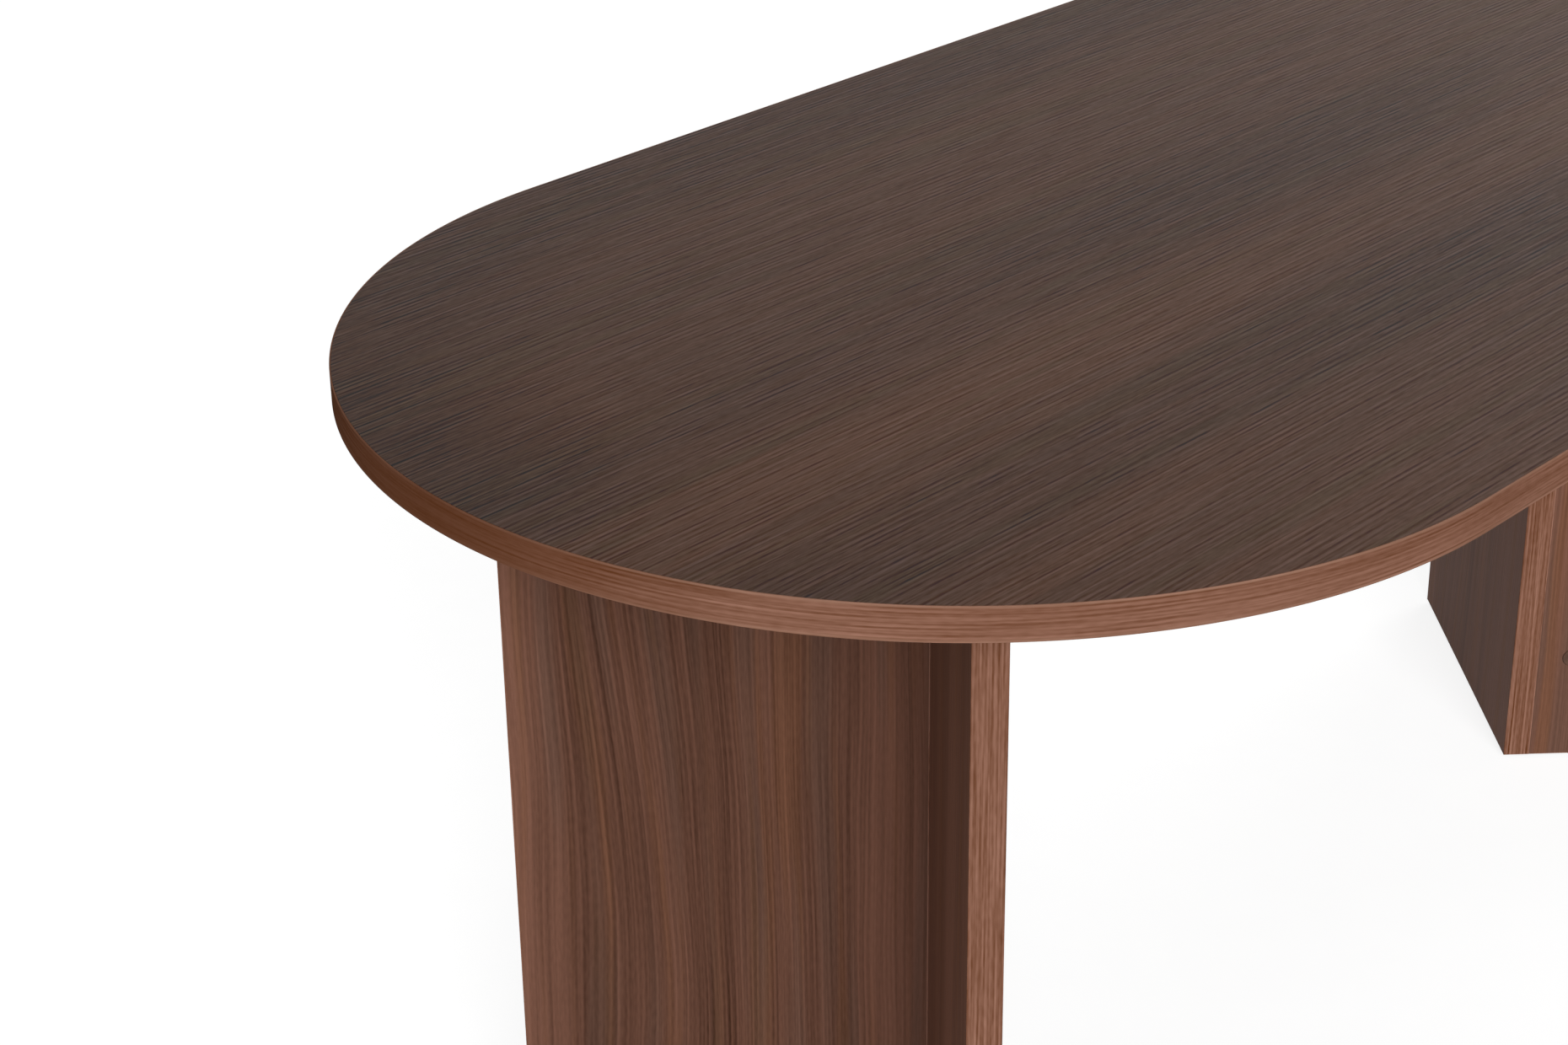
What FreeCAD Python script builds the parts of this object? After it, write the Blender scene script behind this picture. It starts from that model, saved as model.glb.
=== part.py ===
import FreeCAD, Part
import math
import os
import re
import Sketcher

# Oval dining table: a racetrack top on two V-shaped legs, each of two boards joined square.
# Millimetres, +Z up, +X along the table, origin on the floor under the middle of the top.
#
# One leg is modelled in a frame of its own and placed twice. In that frame the outer corner of
# the V stands on the Z axis, the butted panel runs along X and the through panel along Y.

SHEET = "Sizes"
DRIVING_SIZES = [
    ("table_length", "1800", "overall length"),
    ("table_width", "900", "overall width, and the diameter of the round ends"),
    ("table_height", "750", "floor to the upper face of the top"),
    ("top_thickness", "25", "thickness of the top"),
    ("rim_band", "1", "thickness of the edge band round the top"),
    ("rim_round", "0.5", "rounding of the rim band's two arrises"),
    ("glue_line", "0.1", "gap that the glue fills behind every band"),
    ("leg_setback", "465", "end of the table to the outer corner of a leg"),
    ("arm_length", "350", "outer length of each arm of a leg"),
    ("panel_thickness", "25", "thickness of a leg panel"),
    ("panel_band", "1", "thickness of the edge bands on the leg panels"),
    ("panel_band_round", "0.5", "rounding of the upright bands' outer arrises"),
    ("hole_gap", "0.1", "radial gap round whatever sits in a drilled hole"),
    ("dowel_diameter", "8", "wooden dowels"),
    ("dowel_length", "30", "wooden dowels"),
    ("dowel_bevel", "1", "bevel on a dowel's ends"),
    ("dowel_in_face", "12", "how far a dowel enters the face of a board"),
    ("dowel_end_gap", "1", "room left past each end of a dowel"),
    ("dowel_margin", "45", "end of a panel to the nearest top dowel"),
    ("cam_diameter", "15", "cam lock"),
    ("cam_distance", "34", "joint face to the centre of a cam lock"),
    ("cam_reach", "6", "depth of a cam lock past the bolt's axis"),
    ("cam_sink", "0.5", "cam lock below the panel's face"),
    ("cam_margin", "110", "end of the corner joint to the nearest cam lock"),
    ("cam_dowel_spacing", "32", "cam lock to the dowels beside it"),
    ("cam_drive_span", "8", "cross slot of a cam lock, tip to tip"),
    ("cam_drive_width", "1.6", "cross slot of a cam lock, width"),
    ("cam_drive_depth", "3", "cross slot of a cam lock, depth"),
    ("cam_bolt_thread_diameter", "6", "cam bolt in the through panel"),
    ("cam_bolt_thread_length", "11", "cam bolt in the through panel"),
    ("cam_bolt_shaft_diameter", "7", "cam bolt in the butted panel"),
    ("cam_bolt_bore", "8", "bore for the cam bolt in the butted panel and the cam lock"),
    ("cam_bolt_neck_diameter", "4.5", "cam bolt below its head"),
    ("cam_bolt_neck_length", "6", "cam bolt below its head"),
    ("cam_bolt_head_length", "3", "cam bolt head"),
    ("cam_bolt_head_room", "1", "room past the cam bolt's head in the cam lock"),
    ("cap_overlap", "1.5", "cover cap past the cam lock's hole, all round"),
    ("cap_thickness", "1.5", "cover cap's disc"),
    ("cap_bevel", "0.6", "bevel round the cover cap"),
    ("cap_spigot_diameter", "4", "peg that holds the cap in the cam lock"),
    ("cap_spigot_length", "2.5", "peg that holds the cap in the cam lock"),
    ("bracket_leaf", "40", "length of each leaf of an angle bracket"),
    ("bracket_width", "40", "angle bracket along the panel"),
    ("bracket_thickness", "2.5", "sheet thickness of an angle bracket"),
    ("bracket_bend", "2", "inner bend radius of an angle bracket"),
    ("bracket_corner", "6", "rounded corners of an angle bracket"),
    ("bracket_margin", "90", "end of an arm to the middle of a bracket"),
    ("bracket_hole_reach", "26", "bend of a bracket to its holes"),
    ("bracket_hole_spacing", "20", "between the two holes of a leaf"),
    ("screw_diameter", "4", "wood screw, bracket to panel"),
    ("screw_length", "16", "wood screw under its head"),
    ("screw_tip", "4", "length of the wood screw's point"),
    ("screw_head_diameter", "8", "wood screw"),
    ("screw_head_height", "2.6", "wood screw"),
    ("screw_head_rim", "1.3", "upright part of the wood screw's head"),
    ("screw_head_crown", "4.8", "flat on the wood screw's head"),
    ("screw_drive_span", "4", "cross slot of the wood screw, tip to tip"),
    ("screw_drive_width", "1", "cross slot of the wood screw, width"),
    ("screw_drive_depth", "1.6", "cross slot of the wood screw, depth"),
    ("top_bolt_diameter", "6", "machine bolt, bracket to top"),
    ("top_bolt_length", "14", "machine bolt under its head"),
    ("top_bolt_head_diameter", "11", "machine bolt"),
    ("top_bolt_head_height", "3.3", "machine bolt"),
    ("top_bolt_head_rim", "1.1", "upright part of the machine bolt's head"),
    ("top_bolt_head_crown", "6.6", "flat on the machine bolt's head"),
    ("top_bolt_socket", "4.6", "hexagon socket, corner to corner"),
    ("top_bolt_socket_depth", "2", "hexagon socket"),
    ("insert_diameter", "10", "insert nut in the top"),
    ("insert_length", "13", "insert nut in the top"),
    ("glide_diameter", "20", "floor glide"),
    ("glide_height", "4", "floor glide, and so the gap under the panels"),
    ("glide_bevel", "1.2", "bevel round the floor glide's sole"),
    ("glide_margin", "50", "end of a panel to the nearest glide"),
    ("nail_diameter", "2.2", "nail of a floor glide"),
    ("nail_length", "18", "nail under its head"),
    ("nail_head_diameter", "6", "nail of a floor glide"),
    ("nail_head_height", "1", "nail of a floor glide"),
    ("nail_recess", "1.8", "depth of the recess that hides the nail's head"),
]
ALIASES = {alias for alias, number, note in DRIVING_SIZES}

# Heights and places that several pieces share, as formulas of the driving sizes.
UNDERSIDE = "(table_height - top_thickness)"
PANEL_FOOT = "(glide_height + panel_band + glue_line)"
BAND_AND_GLUE = "(panel_band + glue_line)"
MID_PANEL = "(panel_thickness / 2)"
BUTTED_START = "(panel_thickness + panel_band + glue_line)"
BOTH_GAPS = "2 * hole_gap"
BRACKET_ALONG = ["bracket_margin", "arm_length - bracket_margin"]
HOLE_SHIFTS = ["- bracket_hole_spacing / 2", "+ bracket_hole_spacing / 2"]
CAM_HEIGHTS = [
    PANEL_FOOT + " + cam_margin",
    "(" + PANEL_FOOT + " + " + UNDERSIDE + ") / 2",
    UNDERSIDE + " - cam_margin",
]
CORNER_DOWEL_HEIGHTS = [
    height + shift
    for height in (CAM_HEIGHTS[0], CAM_HEIGHTS[2])
    for shift in (" - cam_dowel_spacing", " + cam_dowel_spacing")
]
TOP_DOWEL_SPOTS = [
    (MID_PANEL, "dowel_margin"),
    (MID_PANEL, "arm_length - dowel_margin"),
    ("panel_thickness + dowel_margin", MID_PANEL),
    ("arm_length - dowel_margin", MID_PANEL),
]
THROUGH_GLIDE_SPOTS = [(MID_PANEL, "glide_margin"), (MID_PANEL, "arm_length - glide_margin")]
BUTTED_GLIDE_SPOTS = [
    ("panel_thickness + glide_margin", MID_PANEL),
    ("arm_length - glide_margin", MID_PANEL),
]

# Turns that carry a piece's own Z axis to the direction named.
TO_Z = FreeCAD.Rotation()
TO_X = FreeCAD.Rotation(FreeCAD.Vector(0, 1, 0), 90)
TO_Y = FreeCAD.Rotation(FreeCAD.Vector(1, 0, 0), -90)
# Turns of a bracket about Z, so that its level leaf points away from the panel.
OFF_THROUGH_PANEL = FreeCAD.Rotation(FreeCAD.Vector(0, 0, 1), 90)
OFF_BUTTED_PANEL = FreeCAD.Rotation(FreeCAD.Vector(0, 0, 1), 180)
# Each leg's turn about Z and the side of the middle that its outer corner stands on.
LEGS = {"left": (135, "-"), "right": (-45, "")}

STEP_FOLDER = "parts"
TOUCH = 1e-4

doc = FreeCAD.newDocument("oval_dining_table")
nodes = []


# Document helpers

def write_sheet():
    """Put every driving size into the spreadsheet under its alias."""
    sheet = doc.addObject("Spreadsheet::Sheet", SHEET)
    for row, (alias, number, note) in enumerate(DRIVING_SIZES, start=1):
        sheet.set("A%d" % row, alias)
        sheet.set("B%d" % row, number)
        sheet.set("C%d" % row, note)
        sheet.setAlias("B%d" % row, alias)
    doc.recompute()


def formula(text):
    """Expression in which each driving size is read from the spreadsheet."""
    def in_sheet(word):
        return SHEET + "." + word.group() if word.group() in ALIASES else word.group()
    return re.sub(r"[a-z]\w*", in_sheet, text)


def bind(piece, bindings):
    """Tie properties of a piece to formulas of the driving sizes."""
    for name, text in bindings.items():
        piece.setExpression(name, formula(text))


def set_down(piece, spot, turn=TO_Z):
    """Turn a piece, then tie its origin to a spot given as three formulas."""
    piece.Placement = FreeCAD.Placement(FreeCAD.Vector(), turn)
    bind(piece, {"Placement.Base." + axis: text for axis, text in zip("xyz", spot)})


def block(name, corner, sides):
    """Rectangular block from its lowest corner and its sides along X, Y and Z."""
    piece = doc.addObject("Part::Box", name)
    bind(piece, dict(zip(("Length", "Width", "Height"), sides)))
    set_down(piece, corner)
    return piece


def rod(name, diameter, length, spot=("0", "0", "0"), turn=TO_Z):
    """Round rod that starts at a spot and runs along the turned Z axis."""
    piece = doc.addObject("Part::Cylinder", name)
    bind(piece, {"Radius": "(" + diameter + ") / 2", "Height": length})
    set_down(piece, spot, turn)
    return piece


def cut(name, base, tools, overlapping=False):
    """Base with its tools cut away; tools that meet each other are fused first."""
    kind = "Part::MultiFuse" if overlapping else "Part::Compound"
    tool = doc.addObject(kind, name + "_tools")
    setattr(tool, "Shapes" if overlapping else "Links", tools)
    piece = doc.addObject("Part::Cut", name)
    piece.Base = base
    piece.Tool = tool
    return piece


def copies(name, master, places):
    """Linked copies of a master piece, one at each spot and turn."""
    made = []
    for number, (spot, turn) in enumerate(places, start=1):
        link = doc.addObject("App::Link", "%s_%d" % (name, number))
        link.LinkedObject = master
        set_down(link, spot, turn)
        made.append(link)
    return made


def new_sketch(body, role, offset="0"):
    """Sketch on one of a body's origin planes, moved along the plane's normal."""
    sketch = body.newObject("Sketcher::SketchObject", body.Name + "_sketch")
    plane = [feature for feature in body.Origin.OriginFeatures if feature.Role == role][0]
    sketch.AttachmentSupport = [(plane, "")]
    sketch.MapMode = "FlatFace"
    bind(sketch, {"AttachmentOffset.Base.z": offset})
    return sketch


def tie(sketch, kind, places, text):
    """Add a constraint to a sketch and tie its value to a formula."""
    index = sketch.addConstraint(Sketcher.Constraint(kind, *places, number_of(sketch, text)))
    label = "%s_%d" % (kind, index)
    sketch.renameConstraint(index, label)
    bind(sketch, {"Constraints." + label: text})


def number_of(piece, text):
    """Present value of a formula, as a plain number."""
    return float(piece.evalExpression(formula(text)))


def draw_outline(sketch, corners):
    """Closed outline of straight lines whose corners follow pairs of formulas."""
    points = [FreeCAD.Vector(*[number_of(sketch, text) for text in corner], 0) for corner in corners]
    following = points[1:] + points[:1]
    for start, end in zip(points, following):
        sketch.addGeometry(Part.LineSegment(start, end))
    for line, corner in enumerate(corners):
        sketch.addConstraint(Sketcher.Constraint("Coincident", line, 2, (line + 1) % len(corners), 1))
        tie(sketch, "DistanceX", (-1, 1, line, 1), corner[0])
        tie(sketch, "DistanceY", (-1, 1, line, 1), corner[1])


def draw_racetrack(sketch, inset):
    """Racetrack outline: two straight sides joined by half circles, inside the rim by an inset."""
    radius = "table_width / 2 - " + inset
    reach = "(table_length - table_width) / 2"
    end = number_of(sketch, reach)
    round_size = number_of(sketch, radius)
    first = len(sketch.Geometry)
    front, right, back, left = range(first, first + 4)
    up = FreeCAD.Vector(0, 0, 1)
    quarter = math.pi / 2
    centres = [FreeCAD.Vector(end, 0, 0), FreeCAD.Vector(-end, 0, 0)]
    circles = [Part.Circle(centre, up, round_size) for centre in centres]
    corners = [FreeCAD.Vector(x, y, 0) for x, y in (
        (-end, -round_size), (end, -round_size), (end, round_size), (-end, round_size))]
    sketch.addGeometry(Part.LineSegment(corners[0], corners[1]))
    sketch.addGeometry(Part.ArcOfCircle(circles[0], -quarter, quarter))
    sketch.addGeometry(Part.LineSegment(corners[2], corners[3]))
    sketch.addGeometry(Part.ArcOfCircle(circles[1], quarter, 3 * quarter))
    for one, other in ((front, right), (right, back), (back, left), (left, front)):
        sketch.addConstraint(Sketcher.Constraint("Tangent", one, 2, other, 1))
    sketch.addConstraint(Sketcher.Constraint("Equal", right, left))
    sketch.addConstraint(Sketcher.Constraint("Horizontal", front))
    sketch.addConstraint(Sketcher.Constraint("PointOnObject", right, 3, -1))
    tie(sketch, "DistanceX", (-1, 1, right, 3), reach)
    tie(sketch, "DistanceX", (left, 3, -1, 1), reach)
    tie(sketch, "Radius", (right,), radius)


def new_body(name):
    return doc.addObject("PartDesign::Body", name)


def pad(body, sketch, length):
    """Extrude a sketch along its normal."""
    feature = body.newObject("PartDesign::Pad", body.Name + "_pad")
    feature.Profile = sketch
    bind(feature, {"Length": length})
    doc.recompute()
    return feature


def round_edges(body, radius, wanted):
    """Round the edges of a body that a test picks."""
    base = body.Tip
    names = ["Edge%d" % number for number, edge in enumerate(base.Shape.Edges, start=1) if wanted(edge)]
    feature = body.newObject("PartDesign::Fillet", body.Name + "_rounding")
    feature.Base = (base, names)
    bind(feature, {"Radius": radius})
    doc.recompute()


def pocket_holes(body, role, spots, diameter, depth):
    """Round holes sunk from an origin plane against its normal."""
    sketch = new_sketch(body, role)
    for index, spot in enumerate(spots):
        x, y = [number_of(sketch, text) for text in spot]
        circle = Part.Circle(FreeCAD.Vector(x, y, 0), FreeCAD.Vector(0, 0, 1), 1)
        sketch.addGeometry(circle)
        tie(sketch, "DistanceX", (-1, 1, index, 3), spot[0])
        tie(sketch, "DistanceY", (-1, 1, index, 3), spot[1])
        tie(sketch, "Diameter", (index,), diameter)
    before = body.Shape.Volume
    feature = body.newObject("PartDesign::Pocket", body.Name + "_holes")
    feature.Profile = sketch
    bind(feature, {"Length": depth})
    doc.recompute()
    if body.Shape.Volume > before - TOUCH:
        raise RuntimeError(body.Name + ": a row of holes cut nothing")


def turned(name, outline):
    """Round piece turned about Z from an outline of (radius, height) formulas."""
    body = new_body(name)
    sketch = new_sketch(body, "XZ_Plane")
    draw_outline(sketch, outline)
    doc.recompute()
    feature = body.newObject("PartDesign::Revolution", name + "_turning")
    feature.Profile = sketch
    feature.ReferenceAxis = (sketch, ["V_Axis"])
    feature.Angle = 360
    doc.recompute()
    return body


def is_upright(edge):
    ends = [vertex.Point for vertex in edge.Vertexes]
    return len(ends) == 2 and abs(ends[0].x - ends[1].x) + abs(ends[0].y - ends[1].y) < TOUCH


# Top

def make_top_band():
    """Ring of edge band round the top, its two outer arrises rounded."""
    body = new_body("top_edge_band")
    sketch = new_sketch(body, "XY_Plane", UNDERSIDE)
    draw_racetrack(sketch, "0")
    draw_racetrack(sketch, "rim_band")
    pad(body, sketch, "top_thickness")
    half_width = body.Shape.BoundBox.YMax
    levels = (body.Shape.BoundBox.ZMin, body.Shape.BoundBox.ZMax)

    def on_outer_arris(edge):
        box = edge.BoundBox
        level = box.ZLength < TOUCH and min(abs(box.ZMin - z) for z in levels) < TOUCH
        return level and max(abs(box.YMin), abs(box.YMax)) > half_width - TOUCH

    round_edges(body, "rim_round", on_outer_arris)
    nodes.append(body)


def make_top_board():
    """Racetrack board, drilled from below for the dowels and insert nuts of both legs."""
    blank = new_body("top_blank")
    sketch = new_sketch(blank, "XY_Plane", UNDERSIDE)
    draw_racetrack(sketch, "(rim_band + glue_line)")
    pad(blank, sketch, "top_thickness")
    dowel_depth = "dowel_in_face + dowel_end_gap"
    holes = [
        rod("top_dowel_hole", "dowel_diameter + " + BOTH_GAPS, dowel_depth, spot + (UNDERSIDE,))
        for spot in TOP_DOWEL_SPOTS
    ]
    holes += [
        rod("insert_hole", "insert_diameter + " + BOTH_GAPS, "insert_length", spot + (UNDERSIDE,))
        for spot in insert_spots()
    ]
    both_legs = []
    for side in LEGS:
        drilling = doc.addObject("Part::Compound", side + "_top_drilling")
        drilling.Links = holes
        stand_leg(drilling, side)
        both_legs.append(drilling)
    nodes.append(cut("top_board", blank, both_legs))


# Leg panels and their bands

def corner_joint_holes(start, diameter, depth, heights):
    """Holes along X at mid-thickness of the butted panel, one at each height."""
    return [
        rod("corner_hole", diameter + " + " + BOTH_GAPS, depth, (start, MID_PANEL, height), TO_X)
        for height in heights
    ]


def panel_top_holes(spots):
    """Dowel holes down into a panel's top edge."""
    depth = "(dowel_length - dowel_in_face + dowel_end_gap)"
    start = UNDERSIDE + " - " + depth
    return [
        rod("panel_dowel_hole", "dowel_diameter + " + BOTH_GAPS, depth, spot + (start,))
        for spot in spots
    ]


def nail_holes(spots):
    """Nail holes up through a foot band and into a panel's lower edge."""
    depth = "nail_recess + nail_length - glide_height"
    return [
        rod("nail_hole", "nail_diameter + " + BOTH_GAPS, depth, spot + ("glide_height",))
        for spot in spots
    ]


def screw_holes(places):
    """Pilot holes for the bracket screws, from the panel's outer face."""
    return [
        rod("screw_hole", "screw_diameter + " + BOTH_GAPS, "screw_length - bracket_thickness", spot, turn)
        for spot, turn in places
    ]


def make_through_panel():
    """Board that runs the whole arm; the butted panel joins its inner face."""
    board = block(
        "through_blank",
        ("0", BAND_AND_GLUE, PANEL_FOOT),
        ("panel_thickness", "arm_length - 2 * " + BAND_AND_GLUE, UNDERSIDE + " - " + PANEL_FOOT))
    dowel_depth = "(dowel_in_face + dowel_end_gap)"
    holes = corner_joint_holes(
        "panel_thickness - " + dowel_depth, "dowel_diameter", dowel_depth, CORNER_DOWEL_HEIGHTS)
    holes += corner_joint_holes(
        "panel_thickness - cam_bolt_thread_length", "cam_bolt_thread_diameter",
        "cam_bolt_thread_length", CAM_HEIGHTS)
    holes += panel_top_holes(TOP_DOWEL_SPOTS[:2])
    holes += nail_holes(THROUGH_GLIDE_SPOTS)
    holes += screw_holes(screw_places("0")[:4])
    return cut("through_panel", board, holes)


def make_butted_panel():
    """Board whose upright edge meets the through panel; it holds the cam locks."""
    board = block(
        "butted_blank",
        (BUTTED_START, "0", PANEL_FOOT),
        ("arm_length - " + BAND_AND_GLUE + " - " + BUTTED_START, "panel_thickness",
         UNDERSIDE + " - " + PANEL_FOOT))
    dowel_depth = "dowel_length - dowel_in_face + dowel_end_gap"
    holes = corner_joint_holes("panel_thickness", "dowel_diameter", dowel_depth, CORNER_DOWEL_HEIGHTS)
    holes += corner_joint_holes("panel_thickness", "cam_bolt_bore", "cam_distance", CAM_HEIGHTS)
    holes += [
        rod("cam_hole", "cam_diameter + " + BOTH_GAPS, MID_PANEL + " + cam_reach",
            ("panel_thickness + cam_distance", "0", height), TO_Y)
        for height in CAM_HEIGHTS
    ]
    holes += panel_top_holes(TOP_DOWEL_SPOTS[2:])
    holes += nail_holes(BUTTED_GLIDE_SPOTS)
    holes += screw_holes(screw_places("0")[4:])
    return cut("butted_panel", board, holes, overlapping=True)


def make_upright_band(name, corner, sides, rounded_face):
    """Edge band up a panel's side, with the two arrises of its outer face rounded."""
    body = new_body(name)
    sketch = new_sketch(body, "XY_Plane", "glide_height")
    far = [corner[axis] + " + " + sides[axis] for axis in (0, 1)]
    draw_outline(sketch, [corner, (far[0], corner[1]), (far[0], far[1]), (corner[0], far[1])])
    pad(body, sketch, UNDERSIDE + " - glide_height")
    axis, text = rounded_face
    place = number_of(body, text)

    def on_outer_face(edge):
        return is_upright(edge) and abs(getattr(edge.Vertexes[0].Point, axis) - place) < TOUCH

    round_edges(body, "panel_band_round", on_outer_face)
    return body


def make_joint_band():
    """Band on the butted edge, pierced by the dowels and cam bolts of the corner joint."""
    strip = block(
        "joint_strip",
        ("panel_thickness", "0", "glide_height"),
        ("panel_band", "panel_thickness", UNDERSIDE + " - glide_height"))
    holes = corner_joint_holes("panel_thickness", "dowel_diameter", "panel_band", CORNER_DOWEL_HEIGHTS)
    holes += corner_joint_holes("panel_thickness", "cam_bolt_bore", "panel_band", CAM_HEIGHTS)
    return cut("butted_panel_joint_band", strip, holes)


def make_foot_band(name, corner, sides, glide_spots):
    """Band along a panel's lower edge, pierced by the glide nails."""
    strip = block(name + "_strip", corner + ("glide_height",), sides + ("panel_band",))
    return cut(name, strip, nail_holes(glide_spots))


def make_panels():
    """Both panels of a leg with all their edge bands, by node name."""
    board_length = "arm_length - 2 * " + BAND_AND_GLUE
    butted_length = "arm_length - " + BAND_AND_GLUE + " - " + BUTTED_START
    return {
        "through_panel": [make_through_panel()],
        "through_panel_end_band": [make_upright_band(
            "through_end_band", ("0", "arm_length - panel_band"), ("panel_thickness", "panel_band"),
            ("y", "arm_length"))],
        "through_panel_corner_band": [make_upright_band(
            "through_corner_band", ("0", "0"), ("panel_thickness", "panel_band"), ("y", "0"))],
        "through_panel_foot_band": [make_foot_band(
            "through_foot_band", ("0", BAND_AND_GLUE), ("panel_thickness", board_length),
            THROUGH_GLIDE_SPOTS)],
        "butted_panel": [make_butted_panel()],
        "butted_panel_end_band": [make_upright_band(
            "butted_end_band", ("arm_length - panel_band", "0"), ("panel_band", "panel_thickness"),
            ("x", "arm_length"))],
        "butted_panel_joint_band": [make_joint_band()],
        "butted_panel_foot_band": [make_foot_band(
            "butted_foot_band", (BUTTED_START, "0"), (butted_length, "panel_thickness"),
            BUTTED_GLIDE_SPOTS)],
    }


# Corner joint

def make_dowel():
    radius = "dowel_diameter / 2"
    return turned("dowel", [
        ("0", "0"),
        (radius + " - dowel_bevel", "0"),
        (radius, "dowel_bevel"),
        (radius, "dowel_length - dowel_bevel"),
        (radius + " - dowel_bevel", "dowel_length"),
        ("0", "dowel_length"),
    ])


def make_cam_bolt():
    """Cam bolt along Z: thread, shaft, neck and head, with the joint face at the thread's end."""
    head_start = "cam_bolt_thread_length + cam_distance"
    neck_start = head_start + " - cam_bolt_neck_length"
    head_end = head_start + " + cam_bolt_head_length"
    thread = "cam_bolt_thread_diameter / 2"
    shaft = "cam_bolt_shaft_diameter / 2"
    neck = "cam_bolt_neck_diameter / 2"
    return turned("cam_bolt", [
        ("0", "0"),
        (thread, "0"),
        (thread, "cam_bolt_thread_length"),
        (shaft, "cam_bolt_thread_length"),
        (shaft, neck_start),
        (neck, neck_start),
        (neck, head_start),
        (shaft, head_start),
        (shaft, head_end),
        ("0", head_end),
    ])


def cross_slot(name, span, width, depth, level="0"):
    """Two crossed slots, sunk along +Z from a level."""
    middle = "-(%s) / 2"
    return [
        block(name + "_slot", (middle % span, middle % width, level), (span, width, depth)),
        block(name + "_slot", (middle % width, middle % span, level), (width, span, depth)),
    ]


def make_cam_lock():
    """Cam lock along Z from its driven face, bored from one side for the bolt's head."""
    drum = rod("cam_drum", "cam_diameter", MID_PANEL + " + cam_reach - cam_sink")
    tools = cross_slot("cam", "cam_drive_span", "cam_drive_width", "cam_drive_depth")
    tools.append(rod("cam_cap_hole", "cap_spigot_diameter + " + BOTH_GAPS, "cam_drive_depth"))
    tools.append(rod(
        "cam_bolt_way", "cam_bolt_bore", "cam_diameter / 2 + cam_bolt_head_length + cam_bolt_head_room",
        ("-cam_diameter / 2", "0", MID_PANEL + " - cam_sink"), TO_X))
    return cut("cam_lock", drum, tools, overlapping=True)


def make_cam_cap():
    """Cover cap along Z: a bevelled disc outside the panel's face and a peg inside it."""
    disc = "cam_diameter / 2 + cap_overlap"
    peg = "cap_spigot_diameter / 2"
    return turned("cam_cap", [
        ("0", "-cap_thickness"),
        (disc + " - cap_bevel", "-cap_thickness"),
        (disc, "-cap_thickness + cap_bevel"),
        (disc, "0"),
        (peg, "0"),
        (peg, "cap_spigot_length"),
        ("0", "cap_spigot_length"),
    ])


def make_corner_joint(dowel):
    """Dowels, cam bolts, cam locks and caps of one leg's corner joint, by node name."""
    cam_x = "panel_thickness + cam_distance"
    dowel_places = [
        (("panel_thickness - dowel_in_face", MID_PANEL, height), TO_X) for height in CORNER_DOWEL_HEIGHTS
    ]
    bolt_places = [
        (("panel_thickness - cam_bolt_thread_length", MID_PANEL, height), TO_X) for height in CAM_HEIGHTS
    ]
    lock_places = [((cam_x, "cam_sink", height), TO_Y) for height in CAM_HEIGHTS]
    cap_places = [((cam_x, "0", height), TO_Y) for height in CAM_HEIGHTS]
    return {
        "corner_dowels": copies("corner_dowel", dowel, dowel_places),
        "cam_bolts": copies("cam_bolt_copy", make_cam_bolt(), bolt_places),
        "cam_locks": copies("cam_lock_copy", make_cam_lock(), lock_places),
        "cam_caps": copies("cam_cap_copy", make_cam_cap(), cap_places),
    }


# Fixing of a leg to the top

def screw_places(off_face):
    """Spot and turn of each bracket screw, a distance off the panels' outer faces."""
    height = UNDERSIDE + " - bracket_hole_reach"
    off = "-(" + off_face + ")"
    along = [middle + shift for middle in BRACKET_ALONG for shift in HOLE_SHIFTS]
    through = [((off, place, height), TO_X) for place in along]
    butted = [((place, off, height), TO_Y) for place in along]
    return through + butted


def insert_spots():
    """Places of the insert nuts, one above each hole in the brackets' level leaves."""
    along = [middle + shift for middle in BRACKET_ALONG for shift in HOLE_SHIFTS]
    through = [("-bracket_hole_reach", place) for place in along]
    butted = [(place, "-bracket_hole_reach") for place in along]
    return through + butted


def make_bracket():
    """Angle bracket: one leaf hangs down a panel at Y 0, the other lies under the top at Z 0."""
    body = new_body("angle_bracket")
    sketch = new_sketch(body, "YZ_Plane", "-bracket_width / 2")
    draw_outline(sketch, [
        ("0", "0"),
        ("0", "-bracket_leaf"),
        ("bracket_thickness", "-bracket_leaf"),
        ("bracket_thickness", "-bracket_thickness"),
        ("bracket_leaf", "-bracket_thickness"),
        ("bracket_leaf", "0"),
    ])
    pad(body, sketch, "bracket_width")
    reach = number_of(body, "bracket_leaf")
    sheet = number_of(body, "bracket_thickness")

    def is_leaf_corner(edge):
        middle = edge.CenterOfMass
        return edge.Length < sheet + TOUCH and max(middle.y, -middle.z) > reach - sheet

    def is_inner_bend(edge):
        middle = edge.CenterOfMass
        return abs(middle.y - sheet) < TOUCH and abs(middle.z + sheet) < TOUCH

    round_edges(body, "bracket_corner", is_leaf_corner)
    round_edges(body, "bracket_bend", is_inner_bend)
    shifts = ["-bracket_hole_spacing / 2", "bracket_hole_spacing / 2"]
    pocket_holes(
        body, "XY_Plane", [(shift, "bracket_hole_reach") for shift in shifts],
        "top_bolt_diameter + " + BOTH_GAPS, "bracket_thickness")
    pocket_holes(
        body, "XZ_Plane", [(shift, "-bracket_hole_reach") for shift in shifts],
        "screw_diameter + " + BOTH_GAPS, "bracket_thickness")
    return body


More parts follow.
